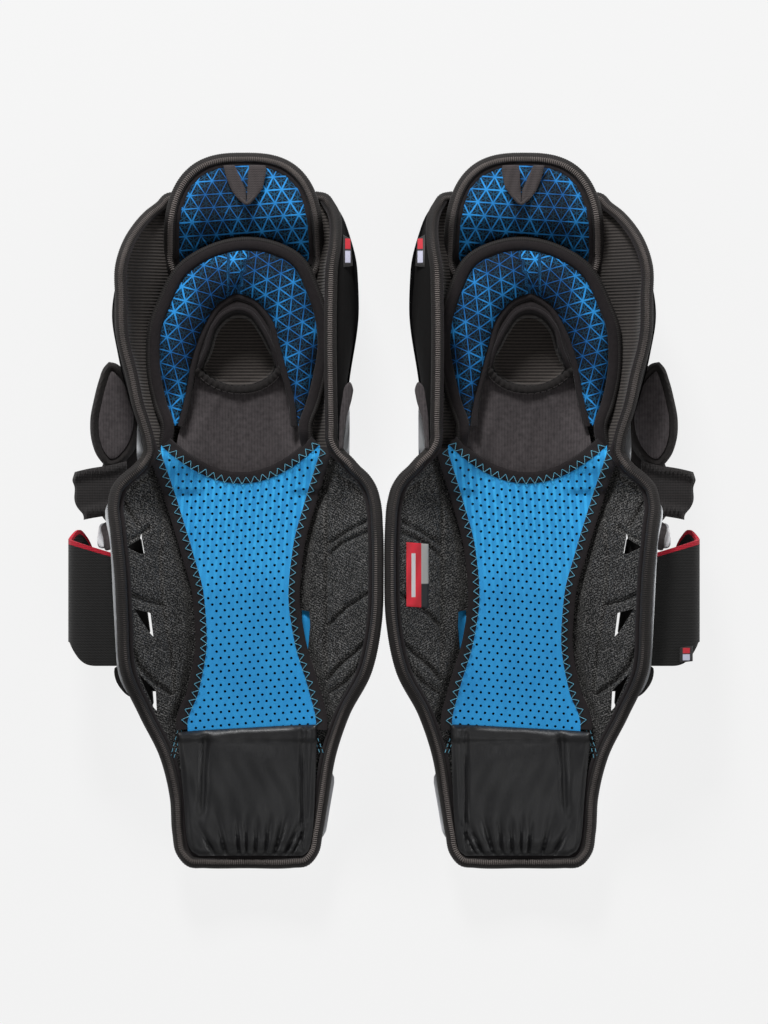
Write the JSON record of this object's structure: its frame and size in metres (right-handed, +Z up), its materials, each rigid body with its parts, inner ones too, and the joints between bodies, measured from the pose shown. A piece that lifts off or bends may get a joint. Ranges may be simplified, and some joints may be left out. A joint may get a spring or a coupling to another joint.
{
  "type": "ice hockey shin guards",
  "caption": "Pair of ice hockey shin guards with moulded knee and shin shells, padded liner, suspension panel, thigh pad and calf straps.",
  "frame": {"origin": "middle of the pair at floor level", "axes": "+X from one guard to the other, +Y from the ankle end to the thigh end, +Z up, out of the liners"},
  "size_m": [0.4544, 0.5158, 0.0908],
  "materials": {
    "shell_white": "moulded, satin gloss",
    "shell_black": "moulded, high gloss with fine scuffs",
    "rivet_steel": "brushed rivet heads",
    "foam_fabric": "brushed knit over foam",
    "spacer_mesh": "coarse spacer mesh with moulded grooves",
    "blue_panel": "perforated moulded fabric",
    "dark_binding": "fine knit tape with blue stitches",
    "pocket_nylon": "woven nylon with a sheen, gathered at its seams",
    "ribbed_piping": "ribbed binding tape",
    "jersey": "warm black jersey",
    "rib_knit": "ribbed knit",
    "pattern_fabric": "printed triangle pattern, blue on near black",
    "anchor_plastic": "fine grained",
    "woven_tag": "woven satin",
    "webbing": "narrow herringbone webbing",
    "flap_fabric": "brushed knit with a raised border",
    "strap_elastic": "dense twill elastic",
    "strap_red": "woven edge tape",
    "hook_plastic": "hook fastener"
  },
  "bodies": {
    "guard_l": {"shin_shell_l": "shell_white", "knee_shell_l": "shell_black", "shell_links_l": "shell_white", "shell_rivets_l": "rivet_steel", "shin_foam_l": "foam_fabric", "outer_wing_l": "spacer_mesh", "inner_wing_l": "spacer_mesh", "suspension_panel_l": "blue_panel", "panel_binding_l": "dark_binding", "ankle_pocket_l": "pocket_nylon", "shin_binding_l": "ribbed_piping", "mesh_tongue_l": "jersey", "knee_lining_l": "rib_knit", "knee_foam_l": "rib_knit", "knee_binding_l": "ribbed_piping", "knee_ring_l": "pattern_fabric", "ring_binding_l": "dark_binding", "strap_anchor_l": "anchor_plastic", "side_tag_l": "woven_tag"},
    "thigh_l": {"thigh_pad_l": "foam_fabric", "thigh_liner_l": "pattern_fabric", "thigh_binding_l": "ribbed_piping"},
    "loop_l": {"pull_loop_l": "webbing"},
    "calf_flap_l": {"outer_flap_l": "flap_fabric"},
    "knee_flap_l": {"inner_flap_l": "jersey"},
    "stub_l": {"upper_strap_l": "jersey"},
    "strap_l": {"calf_strap_l": "strap_elastic", "strap_trim_l": "strap_red", "hook_tab_l": "hook_plastic"},
    "guard_r": {"shin_shell_r": "shell_white", "knee_shell_r": "shell_black", "shell_links_r": "shell_white", "shell_rivets_r": "rivet_steel", "shin_foam_r": "foam_fabric", "outer_wing_r": "spacer_mesh", "inner_wing_r": "spacer_mesh", "suspension_panel_r": "blue_panel", "panel_binding_r": "dark_binding", "ankle_pocket_r": "pocket_nylon", "shin_binding_r": "ribbed_piping", "mesh_tongue_r": "jersey", "knee_lining_r": "rib_knit", "knee_foam_r": "rib_knit", "knee_binding_r": "ribbed_piping", "knee_ring_r": "pattern_fabric", "ring_binding_r": "dark_binding", "strap_anchor_r": "anchor_plastic", "side_tag_r": "woven_tag", "wing_tag_r": "woven_tag"},
    "thigh_r": {"thigh_pad_r": "foam_fabric", "thigh_liner_r": "pattern_fabric", "thigh_binding_r": "ribbed_piping"},
    "loop_r": {"pull_loop_r": "webbing"},
    "calf_flap_r": {"outer_flap_r": "flap_fabric"},
    "knee_flap_r": {"inner_flap_r": "jersey"},
    "stub_r": {"upper_strap_r": "jersey"},
    "strap_r": {"calf_strap_r": "strap_elastic", "strap_trim_r": "strap_red", "hook_tab_r": "hook_plastic"}
  },
  "joints": [
    {"name": "guard_gap", "type": "slide", "parent": "guard_l", "child": "guard_r", "axis": [1, 0, 0], "range_m": [0, 0.08]},
    {"name": "thigh_tilt_l", "type": "hinge", "parent": "guard_l", "child": "thigh_l", "pos_m": [-0.1, 0.19, 0.04], "axis": [1, 0, 0], "range_deg": [-10, 15], "stiffness_Nm_per_rad": 1.2},
    {"name": "loop_swing_l", "type": "hinge", "parent": "thigh_l", "child": "loop_l", "pos_m": [-0.1, 0.25, 0.0555], "axis": [-1, 0, 0], "range_deg": [0, 120]},
    {"name": "calf_flap_swing_l", "type": "hinge", "parent": "guard_l", "child": "calf_flap_l", "pos_m": [-0.183, 0.071, 0.049], "axis": [0, 1, 0], "range_deg": [-20, 18]},
    {"name": "knee_flap_swing_l", "type": "hinge", "parent": "guard_l", "child": "knee_flap_l", "pos_m": [-0.031, 0.067, 0.079], "axis": [0, -1, 0], "range_deg": [0, 60]},
    {"name": "stub_swing_l", "type": "hinge", "parent": "guard_l", "child": "stub_l", "pos_m": [-0.185, 0.015, 0.056], "axis": [0, 1, 0], "range_deg": [-30, 10]},
    {"name": "strap_swing_l", "type": "hinge", "parent": "guard_l", "child": "strap_l", "pos_m": [-0.173, -0.068, 0.043], "axis": [0, 1, 0], "range_deg": [-30, 8]},
    {"name": "thigh_tilt_r", "type": "hinge", "parent": "guard_r", "child": "thigh_r", "pos_m": [0.1, 0.19, 0.04], "axis": [1, 0, 0], "range_deg": [-10, 15], "stiffness_Nm_per_rad": 1.2},
    {"name": "loop_swing_r", "type": "hinge", "parent": "thigh_r", "child": "loop_r", "pos_m": [0.1, 0.25, 0.0555], "axis": [-1, 0, 0], "range_deg": [0, 120]},
    {"name": "calf_flap_swing_r", "type": "hinge", "parent": "guard_r", "child": "calf_flap_r", "pos_m": [0.183, 0.071, 0.049], "axis": [0, -1, 0], "range_deg": [-20, 18]},
    {"name": "knee_flap_swing_r", "type": "hinge", "parent": "guard_r", "child": "knee_flap_r", "pos_m": [0.031, 0.067, 0.079], "axis": [0, 1, 0], "range_deg": [0, 60]},
    {"name": "stub_swing_r", "type": "hinge", "parent": "guard_r", "child": "stub_r", "pos_m": [0.185, 0.015, 0.056], "axis": [0, -1, 0], "range_deg": [-30, 10]},
    {"name": "strap_swing_r", "type": "hinge", "parent": "guard_r", "child": "strap_r", "pos_m": [0.173, -0.068, 0.043], "axis": [0, -1, 0], "range_deg": [-30, 8]}
  ]
}
